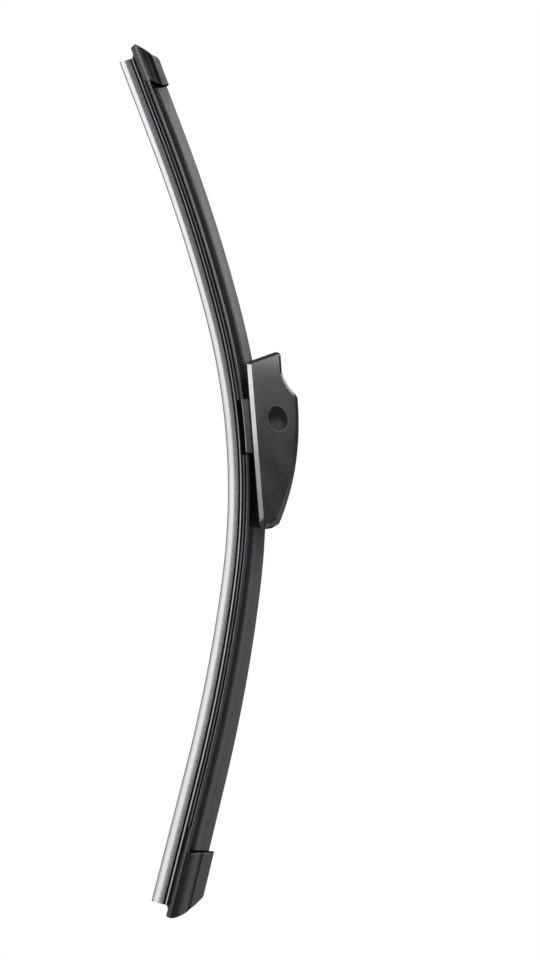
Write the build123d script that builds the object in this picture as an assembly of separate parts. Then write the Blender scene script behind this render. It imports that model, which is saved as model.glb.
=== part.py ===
from build123d import *
import math
import os

# Rail line seen from the side: a tight arc over the middle, a flatter arc each way, then straight tips
apex_x = -14.5
rail_drop = 19.5
mid_radius = 303.0
mid_run = 70.0
outer_radius = 670.0
outer_run = 100.0

# Stations along the rail line, measured from its apex
rubber_upper_reach = 212.7
rubber_lower_reach = 229.3
rail_setback = 1.5
upper_cover = 13.4
lower_cover = 24.3
base_upper_reach = 23.8
base_lower_reach = 4.8
claw_stop = 15.5
butt_gap = 0.15

# Spring rails
rail_thickness = 1.0
rail_inner = 1.0
rail_outer = 5.4
rail_play = 0.05

# Wiping rubber, stacked downwards from the rails, with a head above them
flange_clear = 0.82
flange_height = 1.7
neck_half = 0.45
neck_height = 0.5
shoulder_half = 2.7
shoulder_slope = 0.2
shoulder_height = 0.25
wedge_height = 1.2
lip_root_half = 0.9
lip_tip_half = 0.35
lip_height = 3.25
head_half = 2.6
head_top_half = 2.2
head_height = 1.7
stack_lap = 0.1

# Spoiler section, heights above the middle of the rails
crest_height = 16.5
crest_half = 0.9
crest_bevel = 0.55
brow_half = 2.4
brow_height = 10.5
flank_hollow = 0.62
skirt_half = 7.48
skirt_top = 0.4
skirt_floor = 1.1
claw_grip = 0.93
groove_in = 5.9
groove_out = 6.8
groove_depth = 0.75

# End caps, proud of the spoiler above the skirt and longer on one side
cap_wall = 1.3
cap_brow_lift = 1.2
cap_hollow = 0.7
cap_skirt_step = 0.12
cap_tip_round = 1.6
cap_nose_round = 1.2
upper_proud = 1.5
upper_length = 19.6
upper_crest_run = 12.8
upper_crest_round = 4.0
upper_bulge = -0.7
upper_skew = 9.0
upper_lean = 5.0
upper_bow = 2.4
lower_proud = 2.8
lower_length = 29.8
lower_crest_run = 16.0
lower_crest_round = 6.0
lower_bulge = 2.0
lower_skew = 9.5
lower_lean = 12.0
lower_bow = 0.3

# Connector base clamped on the rails, with two ears for the pivot
base_half = 8.35
base_floor = 1.5
base_top = 3.6
base_chamfer = 0.35
base_grip = 1.2
core_side_play = 0.3
ear_thickness = 2.0
ear_round = 5.5
ear_foot_front = 7.0
ear_foot_back = 17.0
ear_sink = 1.0

# Pivot pin riveted over the ears
pin_radius = 2.5
pin_seat_play = 0.02
pin_running_play = 0.06
head_radius = 3.6
rivet_height = 0.8
rivet_gap = 0.05

# Adapter housing: a crowned shell with bevelled cheeks
cheek_outer = 10.92
cheek_thickness = 2.1
cheek_bevel = 1.8
brow_bevel = 2.0
brow_depth = 0.45
cheek_corner = 2.4
cheek_low = -17.5
front_low_x = 29.4
front_high_x = 38.6
wall_high = 5.4
notch_foot_x = 25.4
notch_head_x = 14.3
notch_head = 14.1
notch_hollow = 1.1
notch_lean = 0.6
tail_x = -59.4
tail_low = -16.3
tail_rake = 0.4
tail_bow = 4.0
tail_corner = 3.2
crown_radius = 123.0
crown_x = 10.8
crown_high = 14.1
crown_rise = 5.6
crown_shoulder = 1.6
crown_room = 12.0
roof_thickness = 1.6

# Hook core on the pin, carried by a bridge between the cheeks
bridge_low = 0.6
bridge_high = 3.6
bridge_back_x = 11.5
bridge_front_x = 27.0
core_radius = 4.7
core_half = 4.6
core_overlap = 0.1

# Dished recess over the pivot on each cheek
dish_radius = 6.9
dish_depth = 1.3
ring_radius = 7.6
ring_depth = 0.25

# Derived sizes
rail_room = rail_thickness / 2 + rail_play
claw_half = rail_outer - claw_grip
base_claw_half = rail_outer - base_grip
flange_half = claw_half - flange_clear
cap_skirt_half = skirt_half + cap_skirt_step
ear_inner = core_half + core_side_play
upper_end = rubber_upper_reach - rail_setback
lower_end = rubber_lower_reach - rail_setback
upper_mouth = rubber_upper_reach - upper_cover
lower_mouth = rubber_lower_reach - lower_cover
claw_reach = lower_mouth - claw_stop
cheek_inner = cheek_outer - cheek_thickness
reach_across = 2 * cheek_outer


# Rail line helpers
def heading(s):
    turn = min(abs(s), mid_run) / mid_radius
    turn += min(max(abs(s) - mid_run, 0), outer_run) / outer_radius
    return math.copysign(turn, s)


def rail_point(s):
    first = min(abs(s), mid_run) / mid_radius
    last = abs(heading(s))
    tip = max(abs(s) - mid_run - outer_run, 0)
    x = mid_radius * math.sin(first) + tip * math.cos(last)
    x += outer_radius * (math.sin(last) - math.sin(first))
    z = mid_radius * (1 - math.cos(first)) + tip * math.sin(last)
    z += outer_radius * (math.cos(first) - math.cos(last))
    return Vector(apex_x + math.copysign(x, s), 0, -rail_drop - z)


def rail_axes(s, outward=1):
    a = heading(s)
    return Vector(math.cos(a), 0, -math.sin(a)) * outward, Vector(math.sin(a), 0, math.cos(a))


def station(s, outward=1):
    return Plane(origin=rail_point(s), x_dir=(0, outward, 0), z_dir=rail_axes(s, outward)[0])


def track(start, stop):
    bends = (-mid_run - outer_run, -mid_run, mid_run, mid_run + outer_run)
    stops = [start] + [b for b in bends if start < b < stop] + [stop]
    runs = []
    for a, b in zip(stops, stops[1:]):
        middle = (a + b) / 2
        straight = abs(middle) > mid_run + outer_run
        ends = (rail_point(a), rail_point(b))
        runs.append(Line(*ends) if straight else ThreePointArc(ends[0], rail_point(middle), ends[1]))
    return Wire(runs)


def along_rail(section, start, stop):
    return sweep(station(start) * section, path=track(start, stop))


# Section helpers
def band(low, high, low_half, high_half):
    corners = [(-low_half, low), (low_half, low), (high_half, high), (-high_half, high)]
    return make_face(Polyline(*corners, close=True))


def slab(face, low_y, high_y):
    return extrude(Plane.XZ.offset(-high_y) * face, amount=high_y - low_y, dir=(0, -1, 0))


def winged_section(crest, half, brow, brow_up, hollow, skirt):
    ridge = Line((0, crest), (half, crest))
    upper = Line((half, crest), (brow, brow_up))
    lower = SagittaArc((brow, brow_up), (skirt, skirt_top), hollow)
    edge = Line((skirt, skirt_top), (skirt, -skirt_floor))
    floor = Line((skirt, -skirt_floor), (0, -skirt_floor))
    axis = Line((0, -skirt_floor), (0, crest))
    side = make_face([ridge, upper, lower, edge, floor, axis])
    both = side + mirror(side, about=Plane.YZ)
    return chamfer(both.vertices().group_by(Axis.Y)[-1], crest_bevel)


def rail_channel(mouth_half, floor):
    rails = band(-rail_room, rail_room, rail_outer + rail_play, rail_outer + rail_play)
    head_low = rail_room - stack_lap
    head_high = rail_room + head_height + rail_play
    head = band(head_low, head_high, head_half + 2 * rail_play, head_top_half + 2 * rail_play)
    mouth = band(-floor - stack_lap, stack_lap - rail_room, mouth_half, mouth_half)
    return rails + head + mouth


# Wiping rubber
flange_low = -rail_room - flange_height
neck_low = flange_low - neck_height
slope_low = neck_low - shoulder_slope
shoulder_low = slope_low - shoulder_height
wedge_low = shoulder_low - wedge_height
lip_low = wedge_low - lip_height
rubber_section = band(lip_low, wedge_low, lip_tip_half, lip_root_half)
rubber_section += band(wedge_low, shoulder_low, lip_root_half, shoulder_half)
rubber_section += band(shoulder_low, slope_low, shoulder_half, shoulder_half)
rubber_section += band(slope_low, neck_low, shoulder_half, neck_half)
rubber_section += band(neck_low, flange_low + stack_lap, neck_half, neck_half)
rubber_section += band(flange_low, -rail_room, flange_half, flange_half)
web_half = rail_inner - rail_play
rubber_section += band(-rail_room - stack_lap, rail_room + stack_lap, web_half, web_half)
rubber_section += band(rail_room, rail_room + head_height, head_half, head_top_half)
wiping_rubber = along_rail(rubber_section, -rubber_lower_reach, rubber_upper_reach)

# Spring rails, one in each side groove of the rubber
rail_width = rail_outer - rail_inner
rail_middle = (rail_outer + rail_inner) / 2
rail_section = Rectangle(rail_width, rail_thickness)
spring_rail_left = along_rail(Pos(rail_middle, 0) * rail_section, -lower_end, upper_end)
spring_rail_right = along_rail(Pos(-rail_middle, 0) * rail_section, -lower_end, upper_end)

# Everything beyond a cap's leaning, bowed mouth
def beyond_mouth(mouth, outward, crest, length, lean, bow, gap):
    along, up = rail_axes(mouth, outward)
    low, high = -2 * skirt_floor, crest + skirt_floor
    slope = math.tan(math.radians(lean))
    foot = (-low * slope - gap, low)
    head = (-high * slope - gap, high)
    middle = ((foot[0] + head[0]) / 2 - bow, (low + high) / 2)
    edge = ThreePointArc(foot, middle, head)
    rest = Polyline(head, (2 * length, high), (2 * length, low), foot)
    side = Plane(origin=rail_point(mouth), x_dir=along, z_dir=along.cross(up))
    return extrude(side * make_face([edge, rest]), amount=reach_across, both=True)


# Spoiler halves with concave flanks, claws under the rails and a groove beside each claw
spoiler_outline = winged_section(crest_height, crest_half, brow_half, brow_height, flank_hollow, skirt_half)
spoiler_section = spoiler_outline - rail_channel(claw_half, skirt_floor)
groove_middle = (groove_in + groove_out) / 2
groove_half = (groove_out - groove_in) / 2
groove = band(-skirt_floor - stack_lap, groove_depth - skirt_floor, groove_half, groove_half)
spoiler_section -= Pos(groove_middle, 0) * groove
spoiler_section -= Pos(-groove_middle, 0) * groove
spoiler_upper = along_rail(spoiler_section, base_upper_reach + butt_gap, upper_mouth)
spoiler_lower = along_rail(spoiler_section, -lower_mouth, -base_lower_reach - butt_gap)
upper_top = crest_height + upper_proud
lower_top = crest_height + lower_proud
spoiler_upper -= beyond_mouth(upper_mouth, 1, upper_top, upper_length, upper_lean, upper_bow, butt_gap)
spoiler_lower -= beyond_mouth(-lower_mouth, -1, lower_top, lower_length, lower_lean, lower_bow, butt_gap)

# The claws of the lower half stop short of its cap
claw_room = rail_outer + rail_play
claw_cut = band(-skirt_floor - stack_lap, stack_lap - rail_room, claw_room, claw_room)
spoiler_lower -= along_rail(claw_cut, -lower_mouth - 2 * cap_wall, -claw_reach)


# End caps: winged section trimmed by a nose in side view and a skewed tip in plan
def end_cap(mouth, outward, crest, length, crest_run, crest_round, bulge, skew, lean, bow):
    along, up = rail_axes(mouth, outward)
    root = rail_point(mouth)
    back = -length / 2
    brow = brow_half + cap_wall
    lift = brow_height + cap_brow_lift
    section = winged_section(crest, crest_half + cap_wall / 2, brow, lift, cap_hollow, cap_skirt_half)
    section -= rail_channel(claw_half, skirt_floor)
    face = station(mouth, outward) * section
    body = extrude(face, amount=length, dir=along) + extrude(face, amount=-back, dir=along * -1)
    top = Line((back, crest), (crest_run, crest))
    nose = SagittaArc((crest_run, crest), (length, -skirt_floor), bulge)
    sole = Line((length, -skirt_floor), (back, -skirt_floor))
    rear = Line((back, -skirt_floor), (back, crest))
    profile = make_face([top, nose, sole, rear])
    profile = fillet(profile.vertices().sort_by(Axis.X)[-1], cap_nose_round)
    profile = fillet(profile.vertices().sort_by_distance((crest_run, crest))[0], crest_round)
    side = Plane(origin=root, x_dir=along, z_dir=along.cross(up))
    body &= extrude(side * profile, amount=reach_across, both=True)
    near = outward * cap_skirt_half
    tip = outward * claw_half
    corners = [(back, near), (length, near), (length, tip), (length - skew, -near), (back, -near)]
    plan = make_face(Polyline(*corners, close=True))
    plan = fillet(plan.vertices().sort_by(Axis.X)[-2:], cap_tip_round)
    above = Plane(origin=root, x_dir=along, z_dir=up)
    body &= extrude(above * plan, amount=reach_across, both=True)
    return body & beyond_mouth(mouth, outward, crest, length, lean, bow, 0)


upper_nose = (upper_length, upper_crest_run, upper_crest_round, upper_bulge, upper_skew)
lower_nose = (lower_length, lower_crest_run, lower_crest_round, lower_bulge, lower_skew)
end_cap_upper = end_cap(upper_mouth, 1, upper_top, *upper_nose, upper_lean, upper_bow)
end_cap_lower = end_cap(-lower_mouth, -1, lower_top, *lower_nose, lower_lean, lower_bow)

# Connector base: saddle around the rails and rubber head, then the ears
base_height = base_top + base_floor
base_outline = Pos(0, (base_top - base_floor) / 2) * Rectangle(2 * base_half, base_height)
base_outline = chamfer(base_outline.vertices(), base_chamfer)
base_section = base_outline - rail_channel(base_claw_half, base_floor)
connector_base = along_rail(base_section, -base_lower_reach, base_upper_reach)
foot_z = -rail_drop + base_top - ear_sink
foot = [(-ear_foot_back, foot_z), (ear_foot_front, foot_z), (ear_round, 0), (-ear_round, 0)]
ear_outline = make_face(Polyline(*foot, close=True)) + Circle(ear_round)
ear_outline -= Circle(pin_radius + pin_seat_play)
ear_outer = ear_inner + ear_thickness
connector_base += slab(ear_outline, ear_inner, ear_outer)
connector_base += slab(ear_outline, -ear_outer, -ear_inner)

# Pivot pin with a rivet head over each ear
shank_half = ear_outer + rivet_gap
pin_shank = Rot(X=90) * Cylinder(pin_radius, 2 * (shank_half + rivet_height / 2))
rivet = Rot(X=90) * Cylinder(head_radius, rivet_height)
rivet_middle = shank_half + rivet_height / 2
pivot_pin = pin_shank + Pos(0, rivet_middle, 0) * rivet + Pos(0, -rivet_middle, 0) * rivet

# Adapter side view: arm notch at the upper end, long tail, open above the crown line
tall = crown_high + crown_rise + crown_room
lean_x = notch_head_x - notch_lean * (tall - notch_head)
front_slope = (front_high_x - front_low_x) / (wall_high - cheek_low)
front_top_x = front_low_x + front_slope * (tall - cheek_low)
hem_slope = (cheek_low - tail_low) / (front_low_x - tail_x)
back_x = tail_x - crown_room
low_points = [(back_x, tail_low - hem_slope * crown_room), (front_low_x, cheek_low)]
body_outline = make_face(Polyline(*low_points, (front_top_x, tall), (back_x, tall), close=True))
body_outline = fillet(body_outline.vertices().sort_by(Axis.Y)[0], cheek_corner)
envelope = slab(body_outline, -cheek_outer, cheek_outer)

# The tail ends in a raked face that is bowed in plan, then hem, front and tail are bevelled
deep = cheek_low - crown_room
tail_round = (cheek_outer ** 2 + tail_bow ** 2) / (2 * tail_bow)
round_x = tail_x - tail_bow + tail_round + tail_rake * (deep - tail_low)
block_length = front_top_x + crown_room - round_x
tail_plan = Pos(round_x, 0) * Circle(tail_round)
tail_plan += Pos(round_x + block_length / 2, 0) * Rectangle(block_length, 2 * tail_round)
envelope &= extrude(Pos(0, 0, deep) * tail_plan, amount=2 * (tall - deep), dir=(tail_rake, 0, 1))
behind = [e for e in envelope.edges() if e.center().X < tail_x]
tail_edges = [e for e in behind if e.center().Z < cheek_low + cheek_corner]
envelope = fillet(tail_edges, tail_corner)
cheek_faces = envelope.faces().sort_by(Axis.Y)
envelope = chamfer(cheek_faces[0].edges() + cheek_faces[-1].edges(), cheek_bevel)

# The arm notch is cut through with a broad shallow bevel on both cheeks
front_deep_x = front_low_x + front_slope * (deep - cheek_low)
front = Line((front_deep_x, deep), (front_high_x, wall_high))
wall = Line((front_high_x, wall_high), (notch_foot_x, wall_high))
notch = SagittaArc((notch_foot_x, wall_high), (notch_head_x, notch_head), notch_hollow)
rise = Line((notch_head_x, notch_head), (lean_x, tall))
rest = Polyline((lean_x, tall), (back_x, tall), (back_x, deep), (front_deep_x, deep))
brow_outline = make_face([front, wall, notch, rise, rest])
wall_corners = [v for v in brow_outline.vertices() if abs(v.Y - wall_high) < rail_play]
brow_outline = fillet(wall_corners, cheek_corner)
brow_foot = cheek_outer - brow_depth
brow_taper = math.degrees(math.atan(brow_bevel / brow_depth))
brow_edge = extrude(Plane.XZ.offset(brow_foot) * brow_outline, amount=brow_depth, taper=brow_taper)
brow_body = slab(brow_outline, -brow_foot, brow_foot) + brow_edge + mirror(brow_edge, about=Plane.XZ)
envelope &= brow_body


# Crowned barrels turned about the axis of the crown line, outside and inside the shell
def barrel(half, top, low):
    base = Line((-half, low), (half, low))
    right = Line((half, low), (half, top))
    arch = ThreePointArc((half, top), (0, top + crown_rise), (-half, top))
    left = Line((-half, top), (-half, low))
    profile = make_face([base, right, arch, left])
    profile = chamfer(profile.vertices().group_by(Axis.Y)[-1], crown_shoulder)
    spin = Plane(origin=(crown_x, 0, crown_high - crown_radius), x_dir=(0, 1, 0), z_dir=(1, 0, 0))
    return revolve(spin * profile, axis=Axis(spin.origin, (0, 1, 0)))


barrel_low = crown_radius / 2
outer_barrel = barrel(cheek_outer, crown_radius, barrel_low)
inner_top = crown_radius - roof_thickness
inner_barrel = barrel(cheek_inner, inner_top, barrel_low - roof_thickness)
shell = (envelope & outer_barrel) - inner_barrel

# Dishes on both cheeks
ring = Rot(X=90) * Cylinder(ring_radius, 2 * ring_depth)
dish_ball = (dish_radius ** 2 + dish_depth ** 2) / (2 * dish_depth)
dish_centre = cheek_outer - ring_depth - dish_depth + dish_ball
for side in (-1, 1):
    shell -= Pos(0, side * cheek_outer, 0) * ring
    shell -= Pos(0, side * dish_centre, 0) * Sphere(dish_ball)

# Hook core and bridge
bridge_length = bridge_front_x - bridge_back_x
bridge_height = bridge_high - bridge_low
bridge_z = (bridge_high + bridge_low) / 2
bridge_x = (bridge_front_x + bridge_back_x) / 2
bridge_half = cheek_inner + core_overlap
bridge = Pos(bridge_x, 0, bridge_z) * Box(bridge_length, 2 * bridge_half, bridge_height)
tongue = Pos(bridge_front_x / 2, 0, bridge_z) * Box(bridge_front_x, 2 * core_half, bridge_height)
core = Rot(X=90) * Cylinder(core_radius, 2 * core_half)
core_bore = Rot(X=90) * Cylinder(pin_radius + pin_running_play, 2 * reach_across)
hook_core = bridge + tongue + core - (core_bore & Box(reach_across, 2 * ear_inner, reach_across))
adapter_housing = shell + hook_core

# One file for each separate piece
pieces = {
    "wiping_rubber": wiping_rubber,
    "spring_rail_left": spring_rail_left,
    "spring_rail_right": spring_rail_right,
    "spoiler_upper": spoiler_upper,
    "spoiler_lower": spoiler_lower,
    "end_cap_upper": end_cap_upper,
    "end_cap_lower": end_cap_lower,
    "connector_base": connector_base,
    "pivot_pin": pivot_pin,
    "adapter_housing": adapter_housing,
}
os.makedirs("parts", exist_ok=True)
for name, piece in pieces.items():
    export_step(piece, f"parts/{name}.step")
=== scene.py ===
# %% [markdown]
# # A flat windscreen wiper blade
# The solids of the blade are already packed in metres, with the pivot of the arm adapter at the
# origin, the blade along X and the glass below it. This lesson loads them as a fixed frame, sweeps the
# long extruded pieces again along the same rail line, softens the moulded pieces, and gives every
# surface a finish that can be seen close up.

# %% Load the solids as the frame
import math
import bmesh
import bpy
from mathutils import Matrix, Vector


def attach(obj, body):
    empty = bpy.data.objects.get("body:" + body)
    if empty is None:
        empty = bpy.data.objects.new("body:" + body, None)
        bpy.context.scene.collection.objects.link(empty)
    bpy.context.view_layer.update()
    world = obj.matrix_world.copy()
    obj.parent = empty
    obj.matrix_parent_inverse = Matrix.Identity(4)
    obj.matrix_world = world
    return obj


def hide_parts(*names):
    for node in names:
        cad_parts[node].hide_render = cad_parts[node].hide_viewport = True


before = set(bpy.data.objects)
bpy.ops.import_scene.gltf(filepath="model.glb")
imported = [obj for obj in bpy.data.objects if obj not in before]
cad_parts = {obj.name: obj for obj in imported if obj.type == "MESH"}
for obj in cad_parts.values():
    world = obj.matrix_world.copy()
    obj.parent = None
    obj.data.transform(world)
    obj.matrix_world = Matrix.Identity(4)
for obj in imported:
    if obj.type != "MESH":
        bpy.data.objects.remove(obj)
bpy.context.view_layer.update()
mm = 0.001
print("frame loaded:", sorted(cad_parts))

# %% [markdown]
# ## Writing node trees as sums
# Finishes and geometry trees are full of small sums. They could be wired by hand in the editor, but a
# class that wraps one socket lets them be written as Python expressions: each operator adds a Math
# node, and one method adds any other node, with its settings set first and its sockets filled by value
# or by link.


# %% A socket that understands arithmetic
class Wire:
    def __init__(self, tree, socket=None):
        self.tree, self.socket = tree, socket

    def plug(self, target, value):
        if isinstance(value, Wire):
            self.tree.links.new(value.socket, target)
        elif value is not None:
            target.default_value = value

    def add(self, kind, settings=None, inputs=None, out=0):
        made = self.tree.nodes.new(kind)
        for key, value in (settings or {}).items():
            setattr(made, key, value)
        for key, value in (inputs or {}).items():
            self.plug(made.inputs[key], value)
        return Wire(self.tree, made.outputs[out])

    def fn(self, operation, *others):
        values = dict(enumerate((self, *others)))
        return self.add("ShaderNodeMath", {"operation": operation}, values)

    def __add__(self, other):
        return self.fn("ADD", other)

    def __sub__(self, other):
        return self.fn("SUBTRACT", other)

    def __mul__(self, other):
        return self.fn("MULTIPLY", other)

    def __truediv__(self, other):
        return self.fn("DIVIDE", other)

    def __rsub__(self, other):
        return self.add("ShaderNodeMath", {"operation": "SUBTRACT"}, {0: other, 1: self})

    __radd__, __rmul__ = __add__, __mul__

    def between(self, low, high):
        smooth = {"interpolation_type": "SMOOTHSTEP"}
        return self.add("ShaderNodeMapRange", smooth, {0: self, 1: low, 2: high})

    def mix(self, first, second):
        return self.add("ShaderNodeMix", {"data_type": "RGBA"}, {0: self, 6: first, 7: second}, out=2)

    def axes(self):
        return tuple(self.add("ShaderNodeSeparateXYZ", None, {0: self}, out=i) for i in range(3))

    def vector(self, operation, other=None, out="Vector"):
        return self.add("ShaderNodeVectorMath", {"operation": operation}, {0: self, 1: other}, out)


print("sums on sockets are ready")

# %% [markdown]
# ## The rail line
# Off the glass, a flat blade is an arch. Its steel rails bend tightly over the middle, less further
# out, and run straight at the tips. A hand-drawn curve could follow it, but every long piece and cap
# has to agree on this one line, so it is kept as a few sizes that are written once here. Stations are
# measured along it from its apex.

# %% Sizes of the rail line and its stations
apex_x = -14.5 * mm
rail_drop = 19.5 * mm
mid_radius = 303.0 * mm
mid_run = 70.0 * mm
outer_radius = 670.0 * mm
outer_run = 100.0 * mm
rubber_upper = 212.7 * mm
rubber_lower = 229.3 * mm
rail_setback = 1.5 * mm
upper_cover = 13.4 * mm
lower_cover = 24.3 * mm
claw_stop = 11.0 * mm
base_upper = 23.8 * mm
base_lower = 4.8 * mm
butt_gap = 0.15 * mm
lower_gap = 0.9 * mm
upper_mouth = rubber_upper - upper_cover
lower_mouth = rubber_lower - lower_cover
claw_reach = lower_mouth - claw_stop
print("rail line from", -rubber_lower, "to", rubber_upper, "m")

# %% [markdown]
# ## Straight strip, then bend
# An extruded piece is easiest to think of straight: a section pushed along a line. So the geometry
# tree makes the strip straight first. Its sizes are named inputs of the tree, so that they can be
# changed on the modifier without touching a node.

# %% Inputs of the strip tree and the straight strip
ring_step = 1.5 * mm


def strip_inputs(tree):
    sizes = {
        "Start": 0.0, "End": 0.1, "Step": ring_step,
        "Mouth Slope": 0.0, "Mouth Bow": 0.0, "Mouth Height": 1.0,
        "Apex": apex_x, "Drop": rail_drop, "Middle Radius": mid_radius, "Middle Run": mid_run,
        "Outer Radius": outer_radius, "Outer Run": outer_run,
    }
    face = tree.interface
    face.new_socket("Section", in_out="INPUT", socket_type="NodeSocketObject")
    face.new_socket("Finish", in_out="INPUT", socket_type="NodeSocketMaterial")
    for name, value in sizes.items():
        face.new_socket(name, in_out="INPUT", socket_type="NodeSocketFloat").default_value = value
    face.new_socket("Strip", in_out="OUTPUT", socket_type="NodeSocketGeometry")
    inlet = tree.nodes.new("NodeGroupInput")
    return {socket.name: Wire(tree, socket) for socket in inlet.outputs if socket.name}


def straight(w, size):
    ends = [size["Start"].fn(pick, size["End"]) for pick in ("MINIMUM", "MAXIMUM")]
    ends = [w.add("ShaderNodeCombineXYZ", None, {0: end}) for end in ends]
    line = w.add("GeometryNodeCurvePrimitiveLine", None, {"Start": ends[0], "End": ends[1]})
    rings = {"Curve": line, "Length": size["Step"]}
    line = w.add("GeometryNodeResampleCurve", {"mode": "LENGTH"}, rings)
    line = w.add("GeometryNodeSetCurveNormal", {"mode": "FREE"}, {"Curve": line, "Normal": (0, 1, 0)})
    section = w.add("GeometryNodeObjectInfo", None, {"Object": size["Section"]}, out="Geometry")
    parts = {"Curve": line, "Profile Curve": section, "Fill Caps": True}
    return w.add("GeometryNodeCurveToMesh", None, parts)


print("straight strips every", ring_step, "m")

# %% [markdown]
# ### Lean and bend
# Where a strip ends under a cap, its rings lean and bow with the cap's mouth, more and more towards
# that end. Then each point's place on the straight strip is kept as an attribute, and only after that
# is the strip bent along the rail line. The kept place is what the finishes read, so grain runs along
# the piece however it bends.


# %% Lean, keep the place, bend
def leaned(w, size, strip, place):
    along, across, up = place.axes()
    level = (up / size["Mouth Height"]) * 2 - 1
    shift = up * size["Mouth Slope"] + size["Mouth Bow"] * (1 - level * level)
    share = (along - size["Start"]) / (size["End"] - size["Start"])
    run = along - share * shift * size["End"].fn("SIGN")
    spot = w.add("ShaderNodeCombineXYZ", None, {0: run, 1: across, 2: up})
    strip = w.add("GeometryNodeSetPosition", None, {"Geometry": strip, "Position": spot})
    kind = {"data_type": "FLOAT_VECTOR", "domain": "POINT"}
    keep = {"Geometry": strip, "Name": "rail_place", "Value": place}
    return w.add("GeometryNodeStoreNamedAttribute", kind, keep)


def bent(w, size, strip, place):
    along, across, up = place.axes()
    middle, outer = size["Middle Radius"], size["Outer Radius"]
    away = along.fn("ABSOLUTE")
    first = away.fn("MINIMUM", size["Middle Run"]) / middle
    over = (away - size["Middle Run"]).fn("MAXIMUM", 0.0).fn("MINIMUM", size["Outer Run"])
    last = first + over / outer
    tip = (away - size["Middle Run"] - size["Outer Run"]).fn("MAXIMUM", 0.0)
    sin_first, cos_first = first.fn("SINE"), first.fn("COSINE")
    sin_last, cos_last = last.fn("SINE"), last.fn("COSINE")
    out_x = middle * sin_first + outer * (sin_last - sin_first) + tip * cos_last + up * sin_last
    fall = middle * (1 - cos_first) + outer * (cos_first - cos_last) + tip * sin_last
    spot = {0: size["Apex"] + along.fn("SIGN") * out_x, 1: across, 2: up * cos_last - fall - size["Drop"]}
    spot = w.add("ShaderNodeCombineXYZ", None, spot)
    return w.add("GeometryNodeSetPosition", None, {"Geometry": strip, "Position": spot})


def strip_tree():
    tree = bpy.data.node_groups.new("strip_along_the_rails", "GeometryNodeTree")
    size = strip_inputs(tree)
    w = Wire(tree)
    place = w.add("GeometryNodeInputPosition")
    made = leaned(w, size, straight(w, size), place)
    made = bent(w, size, made, place)
    made = w.add("GeometryNodeRealizeInstances", None, {"Geometry": made})
    made = w.add("GeometryNodeSetMaterial", None, {"Geometry": made, "Material": size["Finish"]})
    outlet = tree.nodes.new("NodeGroupOutput")
    tree.links.new(made.socket, outlet.inputs[0])
    return tree


strip_nodes = strip_tree()
print("strip tree:", len(strip_nodes.nodes), "nodes")

# %% [markdown]
# ## Sections
# A section is drawn as one closed outline of corners in millimetres, each with its own small radius:
# real rubber and plastic have no sharp corners, and it is those radii that catch the light as thin
# bright lines along the blade. A Bevel modifier could round them later, but then all edges would get
# one radius. Only the right half is written, the left one is its mirror.

# %% Rounded outlines
straight_corner = math.radians(88)


def rounded(corners, turns=5):
    outline = []
    for index, (x, y, radius) in enumerate(corners):
        here = Vector((x, y))
        before = (Vector(corners[index - 1][:2]) - here).normalized()
        after = (Vector(corners[(index + 1) % len(corners)][:2]) - here).normalized()
        half = before.angle(after) / 2
        if radius == 0 or half > straight_corner:
            outline.append(here)
            continue
        reach = radius / math.tan(half)
        start, stop = here + before * reach, here + after * reach
        centre = here + (before + after).normalized() * (radius / math.sin(half))
        for step in range(turns + 1):
            spoke = (start - centre).lerp(stop - centre, step / turns)
            outline.append(centre + spoke.normalized() * radius)
    return outline


def both_sides(half):
    return half + [(-x, y, radius) for x, y, radius in reversed(half)]


def section_curve(name, outline):
    curve = bpy.data.curves.new(name, "CURVE")
    line = curve.splines.new("POLY")
    line.points.add(len(outline) - 1)
    for point, spot in zip(line.points, outline):
        point.co = (spot.x * mm, spot.y * mm, 0, 1)
    line.use_cyclic_u = True
    return bpy.data.objects.new(name, curve)


print("outlines can be rounded")

# %% [markdown]
# ## From tree to plain mesh
# A strip is evaluated once and kept as a plain mesh, so nothing live is left on it. Edges that turn
# sharply stay sharp and the rest are shaded smooth. One spoiler half is made of two strips, which are
# joined into one piece.

# %% Make a strip
sharp_turn = math.radians(32)


def settled(piece):
    whole = bpy.context.evaluated_depsgraph_get()
    mesh = bpy.data.meshes.new_from_object(piece.evaluated_get(whole))
    piece.modifiers.clear()
    piece.data = mesh
    mesh.name = piece.name
    return mesh


def finish_piece(piece, body, slot, *nodes):
    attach(piece, body)
    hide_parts(*nodes)
    print(piece.name, len(piece.data.polygons), "faces on", body)


def strip(name, section, finish, start, end, slope=0.0, bow=0.0, height=1.0):
    piece = bpy.data.objects.new(name, bpy.data.meshes.new(name))
    bpy.context.scene.collection.objects.link(piece)
    maker = piece.modifiers.new("strip", "NODES")
    maker.node_group = strip_nodes
    values = {
        "Section": section, "Finish": finish, "Start": start, "End": end,
        "Mouth Slope": slope, "Mouth Bow": bow, "Mouth Height": height,
    }
    for socket in strip_nodes.interface.items_tree:
        if socket.in_out == "INPUT" and socket.name in values:
            maker[socket.identifier] = values[socket.name]
    settled(piece).set_sharp_from_angle(angle=sharp_turn)
    return piece


def joined(name, *parts):
    whole = bmesh.new()
    for part in parts:
        whole.from_mesh(part.data)
    mesh = parts[0].data
    whole.to_mesh(mesh)
    whole.free()
    for part in parts[1:]:
        bpy.data.objects.remove(part)
    parts[0].name = mesh.name = name
    return parts[0]


print("strips can be made")

# %% [markdown]
# ## Places on the rail line
# The caps and the base are not strips, but their streaks and dirt follow the blade as well. So the
# bend is undone in plain Python: a point's turn about the centre of the middle arc, or of the outer
# arc, says how far along the blade it lies, and its distance from that centre how high.


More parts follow.
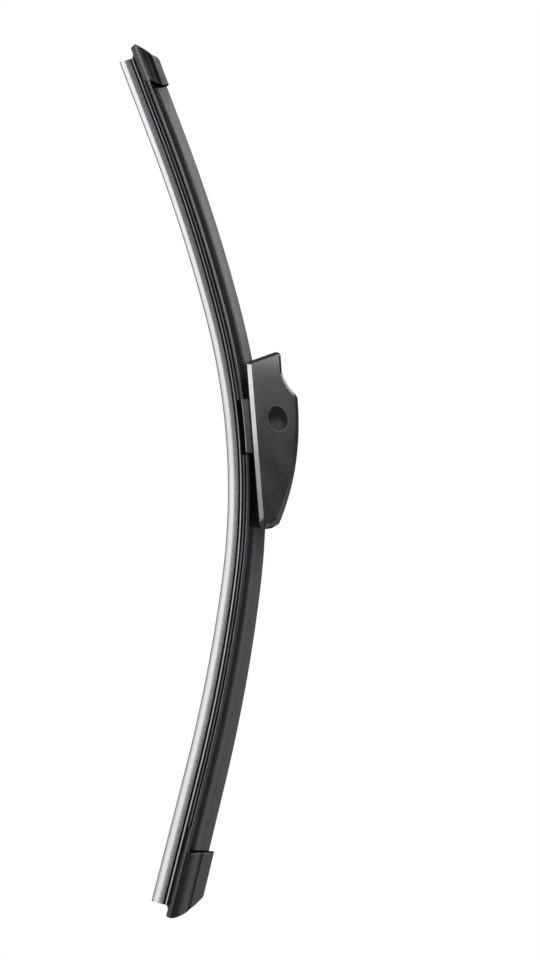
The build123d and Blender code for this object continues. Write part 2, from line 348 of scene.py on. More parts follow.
# %% Unroll a point
def unrolled(point):
    x, z = point.x - apex_x, point.z + rail_drop + mid_radius
    side = math.copysign(1, x)
    first = mid_run / mid_radius
    last = first + outer_run / outer_radius
    turn = math.atan2(abs(x), z)
    if turn <= first:
        return Vector((side * mid_radius * turn, point.y, math.hypot(x, z) - mid_radius))
    step = outer_radius - mid_radius
    far_x, far_z = abs(x) + step * math.sin(first), z + step * math.cos(first)
    turn = math.atan2(far_x, far_z)
    run = mid_run + outer_radius * (min(turn, last) - first)
    if turn <= last:
        return Vector((side * run, point.y, math.hypot(far_x, far_z) - outer_radius))
    tip = far_x * math.cos(last) - far_z * math.sin(last)
    height = far_x * math.sin(last) + far_z * math.cos(last) - outer_radius
    return Vector((side * (run + tip), point.y, height))


print("the apex unrolls to", tuple(unrolled(Vector((apex_x, 0, -rail_drop)))))

# %% [markdown]
# ## Which edges are softened
# The solids come as loose triangles with sharp edges. Choosing the edges by hand would have to be done
# again after every change, so they are chosen by rule. A copy is merged, its flat areas are made whole
# again, and each edge between two broad faces that meet at a clear angle gets a weight. The shallow
# bevel beside the arm notch is the exception: it keeps its form, and only its inner edge is marked
# sharp, or smooth shading would wash it out.

# %% Weigh and crease edges
merge_reach = 0.002 * mm
flat_turn = math.radians(0.4)
crease_turn = math.radians(11)
edge_turn = math.radians(14)
cheek_face = 100 * mm * mm


def face_areas(edge):
    return [face.calc_area() for face in edge.link_faces]


def weigh_edges(mesh, least_face):
    shape = bmesh.new()
    shape.from_mesh(mesh)
    bmesh.ops.remove_doubles(shape, verts=shape.verts, dist=merge_reach)
    bmesh.ops.dissolve_limit(shape, angle_limit=flat_turn, verts=shape.verts, edges=shape.edges)
    weight = shape.edges.layers.float.new("bevel_weight_edge")
    for edge in shape.edges:
        broad = len(edge.link_faces) == 2 and min(face_areas(edge)) > least_face
        edge[weight] = float(broad and edge.calc_face_angle() > edge_turn)
    shape.to_mesh(mesh)
    shape.free()


def crease_shallow(mesh):
    shape = bmesh.new()
    shape.from_mesh(mesh)
    for edge in shape.edges:
        if len(edge.link_faces) == 2 and max(face_areas(edge)) > cheek_face:
            if crease_turn < edge.calc_face_angle() < edge_turn:
                edge.smooth = False
    shape.to_mesh(mesh)
    shape.free()


print("edges are softened from", math.degrees(edge_turn), "degrees")

# %% [markdown]
# ## Softening a copy of a solid
# A Bevel modifier rounds the weighted edges, as the mould of the real piece does, and weighted normals
# keep the flats flat in the shading. Both are settled into a plain mesh. Pieces on the rails also get
# their place on the straight strip, for the finishes.

# %% Soften a solid
bevel_steps = 3


def softened(name, node, finish, radius, least_face, on_rails):
    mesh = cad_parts[node].data.copy()
    if "custom_normal" in mesh.attributes:
        mesh.attributes.remove(mesh.attributes["custom_normal"])
    weigh_edges(mesh, least_face)
    mesh.shade_smooth()
    piece = bpy.data.objects.new(name, mesh)
    bpy.context.scene.collection.objects.link(piece)
    edge = piece.modifiers.new("edge", "BEVEL")
    edge.width, edge.segments, edge.limit_method = radius, bevel_steps, "WEIGHT"
    edge.use_clamp_overlap = False
    mesh = settled(piece)
    mesh.set_sharp_from_angle(angle=sharp_turn)
    crease_shallow(mesh)
    piece.modifiers.new("level", "WEIGHTED_NORMAL").keep_sharp = True
    mesh = settled(piece)
    mesh.materials.clear()
    mesh.materials.append(finish)
    if on_rails:
        place = mesh.attributes.new("rail_place", "FLOAT_VECTOR", "POINT")
        for point, kept in zip(mesh.vertices, place.data):
            kept.vector = unrolled(point.co)
    return piece


print("solids can be softened")

# %% [markdown]
# ## Finishes
# Nearly everything on the blade is black, so the differences lie in gloss and grain. Moulded plastic
# has a fine even grain, extruded rubber has streaks along its length, and the wiping lip carries a
# pale dry coating. Each finish is a function and reads a place in millimetres, so that its grain has a
# real size. In recesses, painted shade is added: a matt black is mixed in, which takes the gloss away
# too. Where dirt sits in a recess, a matt black is mixed in, which takes the gloss away too.

# %% Shared parts of a finish
painted_shade_tone = 0.002


def new_finish(name):
    finish = bpy.data.materials.new(name)
    finish.use_nodes = True
    tree = finish.node_tree
    tree.nodes.clear()
    return finish, Wire(tree)


def place_in_mm(w, attribute=None, stretch=(1, 1, 1)):
    if attribute:
        spot = w.add("ShaderNodeAttribute", {"attribute_name": attribute}, out="Vector")
    else:
        spot = w.add("ShaderNodeTexCoord", out="Object")
    return spot.vector("MULTIPLY", tuple(share / mm for share in stretch))


def noise(w, spot, scale, detail=3.0, rough=0.5):
    values = {"Vector": spot, "Scale": scale, "Detail": detail, "Roughness": rough}
    return w.add("ShaderNodeTexNoise", None, values)


def grey(level, cool=4.0):
    return (level, level * (1 + 0.02 * cool), level * (1 + 0.06 * cool), 1)


def surface(w, colour, rough, height, depth, metal=0.0, specular=0.5, painted_shade=None):
    bump = w.add("ShaderNodeBump", None, {"Height": height, "Strength": 1.0, "Distance": depth})
    values = {"Base Color": colour, "Roughness": rough, "Metallic": metal, "Normal": bump}
    values["Specular IOR Level"] = specular
    shade = w.add("ShaderNodeBsdfPrincipled", None, values)
    # painted shade: where the mask is set, a matt black shader is mixed in, standing for shade in
    # recesses
    if painted_shade:
        shade_black = {"Base Color": grey(painted_shade_tone), "Roughness": 1.0, "Specular IOR Level": 0.0}
        shade_black = w.add("ShaderNodeBsdfPrincipled", None, shade_black)
        shade = w.add("ShaderNodeMixShader", None, {0: painted_shade, 1: shade, 2: shade_black})
    outlet = w.tree.nodes.new("ShaderNodeOutputMaterial")
    w.tree.links.new(shade.socket, outlet.inputs["Surface"])


print("finishes can be mixed")

# %% [markdown]
# ### Base plastic
# The connector base is moulded in black plastic with a fine grain, cloudy where the melt cooled
# unevenly, and with a few dull rubs from handling. A picture of real plastic could show that, but noise
# at three sizes needs no file and no unwrapping. Below, where the base clamps the rails, it never sees
# light, so painted shade fills it there: a matt black is mixed in.

# %% Plastic body and the base
plastic_relief = 0.004 * mm
cloud_scale, grain_scale, rub_scale = 0.07, 3.2, 0.9
rub_stretch = (0.05, 1.0, 0.6)
underside_half, underside_fade = 7.95, 0.25
underside_top = (-1.4, -1.2)


def plastic_body(w, spot, dark, light):
    cloud = noise(w, spot, cloud_scale, 2.0).between(0.3, 0.75)
    grain = noise(w, spot, grain_scale, 2.0)
    rub_spot = place_in_mm(w, None, rub_stretch)
    rub = noise(w, rub_spot, rub_scale, 3.0).between(0.62, 0.78)
    colour = (cloud * 0.8 + rub * 0.35).fn("MINIMUM", 1.0).mix(grey(dark), grey(light))
    rough = 0.24 + cloud * 0.06 + grain * 0.06 + rub * 0.08
    return colour, rough, grain


def base_plastic():
    finish, w = new_finish("base_plastic_finish")
    colour, rough, grain = plastic_body(w, place_in_mm(w), 0.020, 0.034)
    across, up = place_in_mm(w, "rail_place").axes()[1:]
    # painted shade on the base's underside, inside the edge of the pad
    inner = 1 - across.fn("ABSOLUTE").between(underside_half - underside_fade, underside_half)
    below = 1 - up.between(*underside_top)
    surface(w, colour, rough, grain, plastic_relief, painted_shade=inner * below)
    return finish


base_finish = base_plastic()
print("base:", base_finish.name)

# %% [markdown]
# ### Adapter plastic
# The adapter is the same plastic, darker, with marks of its form and use: a dish over the pivot
# darkened with painted shade and ringed by a painted highlight at its rim, bevels that the mould left
# smoother than the grained cheeks, a front wall polished by hands, and a pale painted highlight on the
# notch's bevel. Each mark is a mask worked out from the sizes of the solid, so no picture has to be
# painted.

# %% Adapter plastic
dish_radius, dish_fade = 6.9, 0.3
dish_clear = (dish_radius + 1.0, dish_radius + 2.0)
rim_middle, rim_fade = 0.35, (0.1, 0.45)
cheek_outer = 10.92
cheek_fade = (cheek_outer - 0.08, cheek_outer - 0.02)
crown_radius = 123.0
crown_x, crown_high = 10.8, 14.1
crown_fade = (crown_radius - 2.5, crown_radius - 1.5)
bevel_deep = (10.2, 10.4)
notch_low = (4.5, 6.0)
notch_end = (25.0, 28.0)
wall_polish = (20.0, 31.0)
dish_shade_tone, dish_rim_highlight_tone, notch_highlight_tone = 0.014, 0.11, 0.18
dish_shade_share = 0.55


def adapter_plastic():
    finish, w = new_finish("adapter_plastic_finish")
    spot = place_in_mm(w)
    colour, rough, grain = plastic_body(w, spot, 0.012, 0.024)
    ahead, across, height = spot.axes()
    across = across.fn("ABSOLUTE")
    flat = spot.vector("MULTIPLY", (1, 0, 1))
    away = flat.vector("LENGTH", out="Value")
    dish = 1 - away.between(dish_radius - dish_fade, dish_radius)
    rim = 1 - (away - dish_radius - rim_middle).fn("ABSOLUTE").between(*rim_fade)
    # painted shade: the dish is darker, and a matt black is mixed in there below
    colour = dish.mix(colour, grey(dish_shade_tone))
    # painted highlight: a pale ring along the dish's rim
    colour = (rim * 0.8).mix(colour, grey(dish_rim_highlight_tone, 1))
    from_axis = flat.vector("SUBTRACT", (crown_x, 0, crown_high - crown_radius))
    crown = from_axis.vector("LENGTH", out="Value").between(*crown_fade)
    bevel = (1 - across.between(*cheek_fade)) * (1 - dish) * (1 - crown)
    # painted highlight: a pale band on the notch's bevel
    scuff_and_highlight = bevel * height.between(*notch_low) * (1 - ahead.between(*notch_end))
    scuff_and_highlight = scuff_and_highlight * across.between(*bevel_deep) * away.between(*dish_clear)
    colour = scuff_and_highlight.mix(colour, grey(notch_highlight_tone, 1))
    polish = bevel.fn("MAXIMUM", ahead.between(*wall_polish))
    rough = rough - polish * 0.14 + dish * 0.05
    grain = grain * (1 - polish * 0.8)
    surface(w, colour, rough, grain, plastic_relief, painted_shade=dish * dish_shade_share)
    return finish


adapter_finish = adapter_plastic()
print("adapter:", adapter_finish.name)

# %% [markdown]
# ### Cap plastic
# The caps have streaks along the blade from the polishing of their mould. They could be painted; noise
# stretched along the blade's own length gives them at any distance. At the mouth, the end face and its
# edge get painted shade, with a thin painted highlight line beside them. The hollow flank gets painted
# shade and the skirt is painted lighter, more on the upper cap. Every mouth leans and bows in its own
# way: station, slope, bow and height of each are kept together, since they also shape the ends of the
# spoiler strips.

# %% Streaks and the caps
streak_relief = 0.0012 * mm
upper_rim = (upper_mouth, math.tan(math.radians(5.0)), 2.4 * mm, 18.0 * mm)
lower_rim = (lower_mouth, math.tan(math.radians(12.0)), 0.3 * mm, 19.3 * mm)
mouth_dark = (0.4, 0.7)
mouth_highlight = (0.5, 0.8)
mouth_highlight_end = (1.0, 1.5)
highlight_foot, dark_foot = (1.5, 3.0), (0.6, 1.6)
cap_skirt = (0.8, 2.2)
rim_highlight_tone, skirt_painted_light_tone = 0.06, 0.042
cap_flank_low, cap_flank_high = (2.0, 4.0), (9.5, 12.0)


def streaks(w, dark, light, streak_size, grain_size):
    spot = place_in_mm(w, "rail_place")
    along = place_in_mm(w, "rail_place", (0.02, 1.0, 1.0))
    streak = noise(w, along, streak_size, 2.0, 0.5).between(0.3, 0.75)
    dust = noise(w, spot, 0.06, 5.0, 0.6).between(0.45, 0.8)
    grain = noise(w, spot, grain_size, 2.0)
    colour = (streak * 0.6 + dust * 0.4).mix(grey(dark), grey(light))
    rough = 0.20 + streak * 0.04 + dust * 0.06
    return spot, colour, rough, streak, grain


def cap_plastic(name, mouth, painted_shading):
    finish, w = new_finish(name)
    spot, colour, rough, streak, grain = streaks(w, 0.005, 0.013, 0.8, 1.5)
    station, up = spot.axes()[::2]
    place, slope, bow, top = mouth
    level = up / (top / mm) * 2 - 1
    rim = place / mm - up * slope - (bow / mm) * (1 - level * level)
    from_rim = station.fn("ABSOLUTE") - rim
    # painted highlight: a thin pale line just beyond the rim of the mouth
    wear_and_highlight = from_rim.between(*mouth_highlight) * (1 - from_rim.between(*mouth_highlight_end)) * up.between(*highlight_foot)
    colour = (wear_and_highlight * (0.7 + streak * 0.3)).mix(colour, grey(rim_highlight_tone, 1))
    # painted light: the skirt is painted lighter, by the share given to the cap
    colour = ((1 - up.between(*cap_skirt)) * painted_shading).mix(colour, grey(skirt_painted_light_tone, 1))
    # painted shade on the mouth's end face and its edge
    edge = (1 - from_rim.between(*mouth_dark)) * up.between(*dark_foot)
    # painted shade in the hollow flank, by the same share
    flank = up.between(*cap_flank_low) * (1 - up.between(*cap_flank_high))
    painted_shade = edge.fn("MAXIMUM", flank * painted_shading)
    surface(w, colour, rough, streak * 0.7 + grain * 0.3, streak_relief, painted_shade=painted_shade)
    return finish


upper_cap_finish = cap_plastic("upper_cap_finish", upper_rim, painted_shading=0.75)
lower_cap_finish = cap_plastic("lower_cap_finish", lower_rim, painted_shading=0.1)
print("caps:", upper_cap_finish.name, lower_cap_finish.name)

# %% [markdown]
# ### Spoiler rubber
# The spoiler is soft black rubber, streaked by the die that it was pushed through. Its claws carry a
# grey painted highlight, the grooves beside them and the valley of the flank get painted shade, and the
# ledge of the lower half is paler. Each of these could be a finish of its own on its own faces, but hard
# borders would show; the kept place on the strip lets them fade into each other.

# %% Spoiler rubber
claw_face = (-1.05, -0.85)
claw_side = (5.45, 5.55)
groove_inside, groove_outside = (5.5, 5.6), (6.95, 7.05)
groove_roof = (-0.35, -0.25)
valley_low, valley_high = (1.2, 2.6), (4.5, 8.0)
ledge_side = (6.9, 7.1)
ledge_top = (1.6, 2.8)
ledge_end = (-60.0, 10.0)
groove_start = (-claw_reach / mm - 0.2, -claw_reach / mm + 0.2)
claw_highlight_tone, ledge_pale_tone = 0.10, 0.035
valley_shade_share = 0.3


def spoiler_rubber():
    finish, w = new_finish("spoiler_rubber_finish")
    spot, colour, rough, streak, grain = streaks(w, 0.007, 0.017, 1.3, 2.2)
    station, across, up = spot.axes()
    across = across.fn("ABSOLUTE")
    # painted highlight: the faces of the claws are painted grey
    claw_highlight = (1 - up.between(*claw_face)) * (1 - across.between(*claw_side))
    colour = (claw_highlight * (0.5 + streak * 0.5)).mix(colour, grey(claw_highlight_tone))
    # paler on the skirt's outer ledge in the lower half
    ledge = across.between(*ledge_side) * (1 - up.between(*ledge_top)) * (1 - station.between(*ledge_end))
    colour = (ledge * (0.6 + grain * 0.6)).mix(colour, grey(ledge_pale_tone))
    # painted shade in the grooves beside the claws
    groove = across.between(*groove_inside) * (1 - across.between(*groove_outside))
    groove = groove * (1 - up.between(*groove_roof))
    groove = groove * station.between(*groove_start)
    # painted shade in the valley of the flank
    valley = up.between(*valley_low) * (1 - up.between(*valley_high))
    painted_shade = groove.fn("MAXIMUM", valley * valley_shade_share)
    surface(w, colour, rough, streak * 0.7 + grain * 0.3, streak_relief, painted_shade=painted_shade)
    return finish


spoiler_finish = spoiler_rubber()
print("spoiler:", spoiler_finish.name)

# %% [markdown]
# ### Wiping rubber
# The lip is coated, dry and pale, with a painted highlight along a brighter ridge near its root. The
# wedge above it is grey and mottled where the coating thins out, and the rest of the strip is plain
# black rubber with a painted highlight on the lower corner of its flange. The kept place
# says how far below the rails a point lies, so the zones are bands of height with a ragged border,
# which a split into separate pieces would not give. A slow change along the blade makes the root of
# the wedge and the corner's painted highlight paler in the lower half.

# %% Wiping rubber
rubber_relief = 0.010 * mm
lip_cut = (-7.63, -7.56)
lip_low, lip_high = (-7.6, -6.2), (-5.5, -4.3)
lip_line = (-4.75, -4.25)
wedge_thin = (-4.4, -3.0)
wedge_line = (-3.2, -2.9)
corner_side, corner_top = (2.9, 3.4), (-1.9, -1.6)
wedge_span, corner_span, upper_span = (-70.0, 40.0), (-60.0, 30.0), (20.0, 150.0)
lip_dull, lip_pale_highlight, cut_tone = 0.34, 0.78, 0.10
root_lower, root_upper, wedge_tone = 0.21, 0.12, 0.020
corner_highlight_lower, corner_highlight_upper = 0.27, 0.10
bare_dark, bare_light = 0.003, 0.008


def lip_coat(wear_and_highlight, streak):
    # painted highlight: the coat is brighter along a ridge near the lip's root
    ridge_highlight = wear_and_highlight.between(*lip_low) * (1 - wear_and_highlight.between(*lip_high) * 0.5)
    return (ridge_highlight * 0.8 + streak * 0.2).mix(grey(lip_dull, 0.3), grey(lip_pale_highlight, 0.3))


def thin_coat(w, spot, wear_and_highlight, station):
    mottle = noise(w, spot, 0.9, 3.0, 0.6).between(0.38, 0.62)
    rooted = station.between(*wedge_span).mix(grey(root_lower, 1), grey(root_upper, 1))
    fade = 0.95 - station.between(*wedge_span) * 0.3
    return (wear_and_highlight.between(*wedge_thin) * fade + mottle * 0.35).mix(rooted, grey(wedge_tone))


def bare_rubber(station, across, height, streak):
    # painted highlight on the flange's lower corner, paler in the lower half
    corner_glint_mask = across.fn("ABSOLUTE").between(*corner_side) * (1 - height.between(*corner_top))
    corner = station.between(*corner_span).mix(grey(corner_highlight_lower, 1), grey(corner_highlight_upper))
    black = streak.mix(grey(bare_dark), grey(bare_light))
    return (corner_glint_mask * (0.6 + streak * 0.6)).mix(black, corner)


def edge_rubber():
    finish, w = new_finish("edge_rubber_finish")
    spot = place_in_mm(w, "rail_place")
    station, across, height = spot.axes()
    speckle = noise(w, spot, 1.8, 4.0, 0.7)
    streak = noise(w, place_in_mm(w, "rail_place", (0.03, 1.0, 1.0)), 1.5, 3.0)
    wear_and_highlight = height + speckle * 0.5 - 0.25 + station.between(*upper_span) * 0.45
    lip = 1 - wear_and_highlight.between(*lip_line)
    wedge = 1 - height.between(*wedge_line)
    cut = 1 - height.between(*lip_cut)
    plain = bare_rubber(station, across, height, streak)
    colour = wedge.mix(plain, thin_coat(w, spot, wear_and_highlight, station))
    colour = lip.mix(colour, lip_coat(wear_and_highlight, streak))
    colour = cut.mix(colour, grey(cut_tone))
    rough = 0.34 + speckle * 0.10 + lip * 0.10
    surface(w, colour, rough, speckle * 0.6 + streak * 0.4, rubber_relief)
    return finish


rubber_finish = edge_rubber()
print("wiping rubber:", rubber_finish.name)

# %% [markdown]
# ### Steel
# The rails are black coated spring steel, rubbed brighter in places along their length. The pivot pin
# is plain drawn steel with fine rings from turning. Separate noises could drive colour, gloss and
# relief, but here one stretched noise each drives all three, so that they agree.

# %% Steel
steel_relief = 0.01 * mm
coat_tone, bare_tone = 0.008, 0.05
pin_dark, pin_light = 0.42, 0.60


def coated_steel():
    finish, w = new_finish("rail_steel_finish")
    scuff_and_highlight = noise(w, place_in_mm(w, "rail_place", (0.05, 1.0, 1.0)), 1.1, 4.0, 0.65)
    bare = scuff_and_highlight.between(0.62, 0.75)
    colour = bare.mix(grey(coat_tone), grey(bare_tone))
    surface(w, colour, 0.34 + scuff_and_highlight * 0.15, scuff_and_highlight, steel_relief, metal=bare * 0.5, specular=0.1)
    return finish


def drawn_steel():
    finish, w = new_finish("pin_steel_finish")
    rings = noise(w, place_in_mm(w, None, (0.3, 6.0, 0.3)), 1.5, 3.0)
    colour = rings.mix(grey(pin_dark, 0.4), grey(pin_light, 0.4))
    surface(w, colour, 0.25 + rings * 0.15, rings, steel_relief, metal=1.0)
    return finish


rail_finish = coated_steel()
pin_finish = drawn_steel()
print("steel:", rail_finish.name, pin_finish.name)

# %% [markdown]
# ## Wiping rubber
# The rubber hangs from a flange below the rails and ends in a thin lip, with a head above the rails
# that keeps it from falling out. It could be lofted or swept by hand; here its section goes through
# the strip tree, so it follows the rails by itself. The heights are stacked downwards from the rails,
# and each corner has a half width, a height and a radius, in millimetres.

# %% Rubber strip
rail_half, rail_play = 0.5, 0.05
rail_room = rail_half + rail_play
web_half = 0.95
head_half, head_top_half, head_height = 2.6, 2.2, 1.7
flange_half, neck_half, shoulder_half = 3.65, 0.45, 2.7
lip_root_half, lip_tip_half = 0.9, 0.35
flange_height, neck_height, slope_height = 1.7, 0.5, 0.2
shoulder_height, wedge_height, lip_height = 0.25, 1.2, 3.25
flange_low = -rail_room - flange_height
neck_low = flange_low - neck_height
slope_low = neck_low - slope_height
shoulder_low = slope_low - shoulder_height
wedge_low = shoulder_low - wedge_height
lip_end = wedge_low - lip_height
rubber_half = [
    (lip_tip_half, lip_end, 0.05), (lip_root_half, wedge_low, 0.5),
    (shoulder_half, shoulder_low, 0.12), (shoulder_half, slope_low, 0.1),
    (neck_half, neck_low, 0.15), (neck_half, flange_low, 0.15),
    (flange_half, flange_low, 0.75), (flange_half, -rail_room, 0.2),
    (web_half, -rail_room, 0.1), (web_half, rail_room, 0.1),
    (head_half, rail_room, 0.2), (head_top_half, rail_room + head_height, 0.4),
]
rubber_section = section_curve("rubber_section", rounded(both_sides(rubber_half)))
rubber = strip("wiping_rubber_strip", rubber_section, rubber_finish, -rubber_lower, rubber_upper)
finish_piece(rubber, "blade", "edge_rubber", "wiping_rubber")

# %% [markdown]
# ## Spring rails
# Two flat steel rails lie in the side grooves of the rubber and carry the arch. A bent box would do,
# but a rectangle with slightly rounded corners, sent through the same tree, is sure to lie in the
# rubber's grooves. Each rail stops a little before the rubber does.

# %% Rails
rail_inner, rail_outer = 1.0, 5.4
rail_corner = 0.2
rail_ends = (rail_setback - rubber_lower, rubber_upper - rail_setback)
for side, name in ((1, "left"), (-1, "right")):
    near, far = sorted((side * rail_inner, side * rail_outer))
    corners = [(near, -rail_half), (far, -rail_half), (far, rail_half), (near, rail_half)]
    outline = rounded([(x, y, rail_corner) for x, y in corners], 3)
    rail_section = section_curve(f"rail_section_{name}", outline)
    rail = strip(f"spring_rail_{name}_strip", rail_section, rail_finish, *rail_ends)
    finish_piece(rail, "blade", "rail_steel", f"spring_rail_{name}")

# %% [markdown]
# ## Spoiler section
# Each half of the spoiler is one extrusion: a narrow crest, hollow flanks, a skirt at the foot and two
# claws that grip the rails from below, with a groove beside each claw. The channel for the rails and
# the rubber's head could be cut with a Boolean; as part of the same outline it needs no cutting.

# %% Spoiler section
crest_height, crest_half = 16.5, 0.9
brow_half, brow_height, flank_hollow = 2.4, 10.5, 0.62
skirt_half, skirt_top, skirt_floor = 7.48, 0.4, 1.1
claw_half = 4.3
groove_in, groove_out = 5.6, 6.95
upper_groove, lower_groove = 0.8, 0.35
claw_round, groove_round, groove_edge = 0.15, 0.08, 0.1
skirt_round, crest_round = 0.3, 0.6


def flank(steps=12):
    top, foot = Vector((brow_half, brow_height)), Vector((skirt_half, skirt_top))
    chord = foot - top
    inward = Vector((-abs(chord.y), -chord.x)).normalized()
    shares = [step / steps for step in range(1, steps)]
    return [top.lerp(foot, t) + inward * (4 * flank_hollow * t * (1 - t)) for t in shares]


def spoiler_section(name, groove_depth):
    claws = groove_depth > 0
    grip = rail_outer + rail_play
    inner = claw_half if claws else grip
    foot = [(inner, -skirt_floor, claw_round)]
    if claws:
        roof = groove_depth - skirt_floor
        foot += [(groove_in, -skirt_floor, groove_round), (groove_in, roof, groove_round)]
        foot += [(groove_out, roof, groove_round), (groove_out, -skirt_floor, groove_edge)]
    foot += [(skirt_half, -skirt_floor, skirt_round), (skirt_half, skirt_top, skirt_round)]
    wing = [(spot.x, spot.y, 0) for spot in reversed(flank())]
    crest = [(brow_half, brow_height, crest_round), (crest_half, crest_height, crest_round)]
    head_top = rail_room + head_height + rail_play
    head_room = 2 * rail_play
    channel = [(head_top_half + head_room, head_top, 0), (head_half + head_room, rail_room, 0)]
    channel += [(grip, rail_room, 0), (grip, -rail_room, 0)]
    if claws:
        channel.append((inner, -rail_room, 0))
    outside = both_sides(foot + wing + crest)
    inside = [(-x, y, radius) for x, y, radius in reversed(channel)] + channel
    return section_curve(name, rounded(outside + inside))


claw_section = spoiler_section("spoiler_section", upper_groove)
lower_section = spoiler_section("spoiler_lower_section", lower_groove)
bare_section = spoiler_section("spoiler_end_section", 0.0)
print("spoiler sections:", claw_section.name, lower_section.name, bare_section.name)

# %% [markdown]
# ## Spoiler halves
# The upper half runs from the base to its cap. The lower half loses its claws a little before its cap,
# so it is made of two strips that share one end, which is simpler than a section that changes on the
# way. Both ends under a cap lean and bow with its mouth.

# %% Spoiler halves
upper_start, upper_stop = base_upper + butt_gap, upper_mouth - butt_gap
upper_spoiler = strip("spoiler_upper_strip", claw_section, spoiler_finish,
                      upper_start, upper_stop, *upper_rim[1:])
finish_piece(upper_spoiler, "blade", "spoiler_rubber", "spoiler_upper")

lower_start, lower_stop = -base_lower - lower_gap, butt_gap - lower_mouth
lower_main = strip("spoiler_lower_main", lower_section, spoiler_finish, lower_start, -claw_reach)
lower_end = strip("spoiler_lower_end", bare_section, spoiler_finish,
                  -claw_reach, lower_stop, *lower_rim[1:])
lower_spoiler = joined("spoiler_lower_strip", lower_main, lower_end)
finish_piece(lower_spoiler, "blade", "spoiler_rubber", "spoiler_lower")

# %% [markdown]
# ## Moulded pieces
# The adapter, the connector base and the caps could be modelled again, but the solids already have
# their exact form. A copy of each gets the small radius that a mould leaves, because a perfectly sharp
# edge never catches light. Faces below a given area are left alone, or the bevels would run into each
# other. The pin hides inside and stays as it is.

# %% Adapter, base, caps and pin
outer_edge, base_edge = 0.3 * mm, 0.12 * mm
cap_face, base_face, shell_face = 2 * mm * mm, 1 * mm * mm, 6 * mm * mm
moulded = (
    ("adapter_shell", "adapter_housing", adapter_finish, outer_edge, shell_face,
     "adapter", "adapter_plastic"),
    ("connector_saddle", "connector_base", base_finish, base_edge, base_face,
     "blade", "base_plastic"),
    ("upper_cap", "end_cap_upper", upper_cap_finish, outer_edge, cap_face,
     "blade", "cap_plastic"),
    ("lower_cap", "end_cap_lower", lower_cap_finish, outer_edge, cap_face,
     "blade", "cap_plastic"),
)
for name, node, finish, radius, least_face, body, slot in moulded:
    piece = softened(name, node, finish, radius, least_face, body == "blade")
    finish_piece(piece, body, slot, node)
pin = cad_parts["pivot_pin"]
pin.material_slots[0].material = pin_finish
print("moulded pieces:", len(moulded), "and the pin")

# %% [markdown]
# ## Light
# Black plastic shows what it mirrors, so the lamps stand where the mirror directions of the bevels,
# the crest and the wall point. One large soft key below lights the hem and the pale lip, and the
# weaker lamps above give the crest, the caps and the front wall their soft bands. Their power stays
# low enough that the pale lip doesn't clip.

# %% Lamps
middle, wall = (0.0, 0, -0.03), (0.02, 0.01, 0.0)
upper, upper_tip, lower = (0.10, 0, -0.04), (0.18, 0, -0.06), (-0.15, 0, -0.045)
white, cool = (1, 1, 1), (0.93, 0.965, 1.0)
lamps = (
    ("key", (0.39, 0.60, -0.77), middle, (0.457, 0.31), 8.5, white),
    ("key_tail", (0.052, 0.60, -0.79), middle, (0.223, 0.28), 1.0, white),
    ("front", (0.52, 0.76, 0.50), upper, (0.48, 0.25), 1.9, white),
    ("corner", (0.35, 0.73, 0.665), wall, (0.10, 0.10), 0.15, white),
    ("top", (0.55, 0.335, 0.78), upper, (0.48, 0.21), 1.1, cool),
    ("tip", (0.90, 0.20, 0.78), upper_tip, (0.14, 0.08), 0.11, cool),
    ("rear", (-0.375, 0.31, 0.83), lower, (0.75, 0.42), 1.03, cool),
)


def facing(place, ahead, along):
    ahead = ahead.normalized()
    along = (along - ahead * along.dot(ahead)).normalized()
    turn = Matrix((along, along.cross(ahead), -ahead)).transposed().to_4x4()
    return Matrix.Translation(place) @ turn


for name, place, aim, size, watts, tint in lamps:
    data = bpy.data.lights.new(name, "AREA")
    data.shape, data.energy, data.color = "RECTANGLE", watts, tint
    data.size, data.size_y = size
    lamp = bpy.data.objects.new(name, data)
    lamp.matrix_world = facing(Vector(place), Vector(aim) - Vector(place), Vector((1, 0, 0)))
    bpy.context.scene.collection.objects.link(lamp)
print("lamps:", len(lamps))

# %% [markdown]
# ## Surround
# The blade stands in front of plain white. The camera and the reflections see the world at full white,
# but its soft light is half of that, so black stays black. Two dark areas, one above and one beyond
# the upper end, show only in reflections, as the unlit parts of a room would. Black cards could be
# modelled for them, but cards would show in other views and take light away.

# %% Surround
side_axis, side_fade = (0.1, 0.45, 0.88), (0.25, 0.5)
end_axis, end_fade = (0.96, -0.05, 0.28), (0.85, 0.95)
dark_tone = (0.10, 0.10, 0.105, 1)
white_tone = (1, 1, 1, 1)
light_strength = 0.5


def seen_rays(w):
    kinds = ("Is Camera Ray", "Is Glossy Ray", "Is Transmission Ray")
    camera, glossy, through = (w.add("ShaderNodeLightPath", out=name) for name in kinds)
    return camera, camera.fn("MAXIMUM", glossy).fn("MAXIMUM", through)


def toward(w, axis, fade):
    view = w.add("ShaderNodeTexCoord", out="Generated")
    axis = tuple(Vector(axis).normalized())
    return view.vector("DOT_PRODUCT", axis, out="Value").between(*fade)


world = bpy.data.worlds.new("surround")
bpy.context.scene.world = world
world.use_nodes = True
world.node_tree.nodes.clear()
w = Wire(world.node_tree)
direct, seen = seen_rays(w)
unlit = toward(w, side_axis, side_fade).fn("MAXIMUM", toward(w, end_axis, end_fade))
tone = (unlit * (1 - direct)).mix(white_tone, dark_tone)
shown = w.add("ShaderNodeBackground", None, {"Color": tone, "Strength": 1.0})
light = w.add("ShaderNodeBackground", None, {"Color": white_tone, "Strength": light_strength})
both = w.add("ShaderNodeMixShader", None, {0: seen, 1: light, 2: shown})
outlet = world.node_tree.nodes.new("ShaderNodeOutputWorld")
world.node_tree.links.new(both.socket, outlet.inputs["Surface"])
print("surround lights at", light_strength)

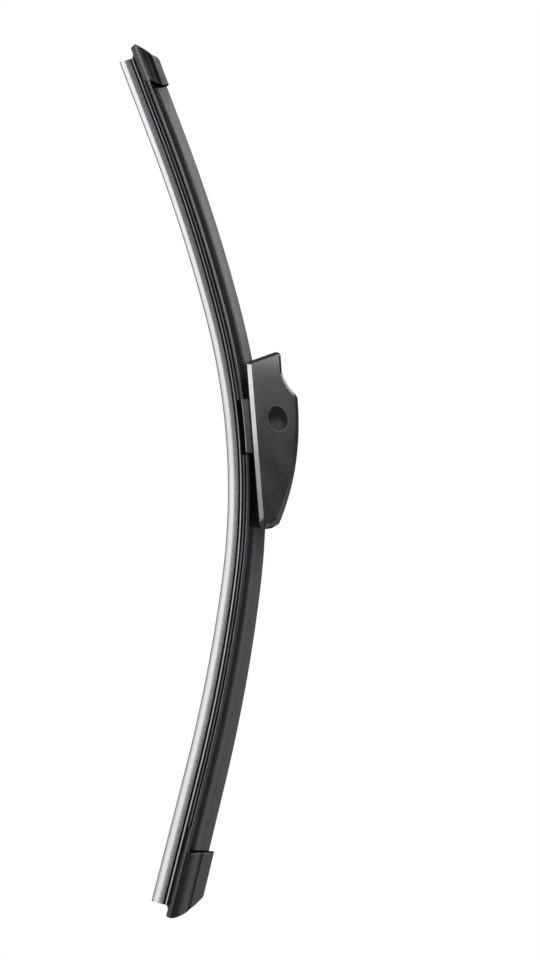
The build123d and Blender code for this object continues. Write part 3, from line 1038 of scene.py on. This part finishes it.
# %% [markdown]
# ## Floor
# A plain pale floor lies well below the blade, since the camera looks up at the glass side. Painted
# alone it would look grey, because the light is kept low; so where it is seen, half of it glows in a
# near white, and the rest still takes light and shadow.

# %% Floor
floor_half, floor_z = 40.0, -1.1
glow_share, glow_tone = 0.5, 0.9
paper_dark, paper_light, paper_scale = 0.78, 0.84, 0.02
corners = [(-floor_half, -floor_half, floor_z), (floor_half, -floor_half, floor_z)]
corners += [(floor_half, floor_half, floor_z), (-floor_half, floor_half, floor_z)]
floor_mesh = bpy.data.meshes.new("floor")
floor_mesh.from_pydata(corners, [], [(0, 1, 2, 3)])
floor = bpy.data.objects.new("floor", floor_mesh)
bpy.context.scene.collection.objects.link(floor)

floor_finish, w = new_finish("floor_paint")
paper = noise(w, place_in_mm(w), paper_scale, 3.0)
paper = paper.mix(grey(paper_dark, 0), grey(paper_light, 0))
paint = {"Base Color": paper, "Roughness": 0.8, "Specular IOR Level": 0.2}
paint = w.add("ShaderNodeBsdfPrincipled", None, paint)
glow = w.add("ShaderNodeEmission", None, {"Color": grey(glow_tone, 0), "Strength": 1.0})
shade = w.add("ShaderNodeMixShader", None, {0: seen_rays(w)[1] * glow_share, 1: paint, 2: glow})
outlet = floor_finish.node_tree.nodes.new("ShaderNodeOutputMaterial")
floor_finish.node_tree.links.new(shade.socket, outlet.inputs["Surface"])
floor_mesh.materials.append(floor_finish)
print("floor at", floor_z)

# %% [markdown]
# ## Camera
# The camera was fitted to the photograph: its place, its direction and which way is up in the picture
# are all that is needed. The blade stands upright in the picture because up is nearly along X. A place
# and two directions are easier to read than three angles.

# %% Camera
camera_place = Vector((-0.1283, 0.4529, -0.3648))
ahead = Vector((0.1643, -0.7681, 0.6189))
image_up = Vector((0.9839, 0.1723, -0.0475))
camera = bpy.data.objects.new("camera", bpy.data.cameras.new("camera"))
camera.data.sensor_width = 36.0
camera.data.lens = 41.25
camera.data.clip_start = 0.01
camera.matrix_world = facing(camera_place, ahead, ahead.cross(image_up))
bpy.context.scene.collection.objects.link(camera)
bpy.context.scene.camera = camera
bpy.context.scene.view_settings.view_transform = "Standard"
print("camera at", tuple(camera_place))
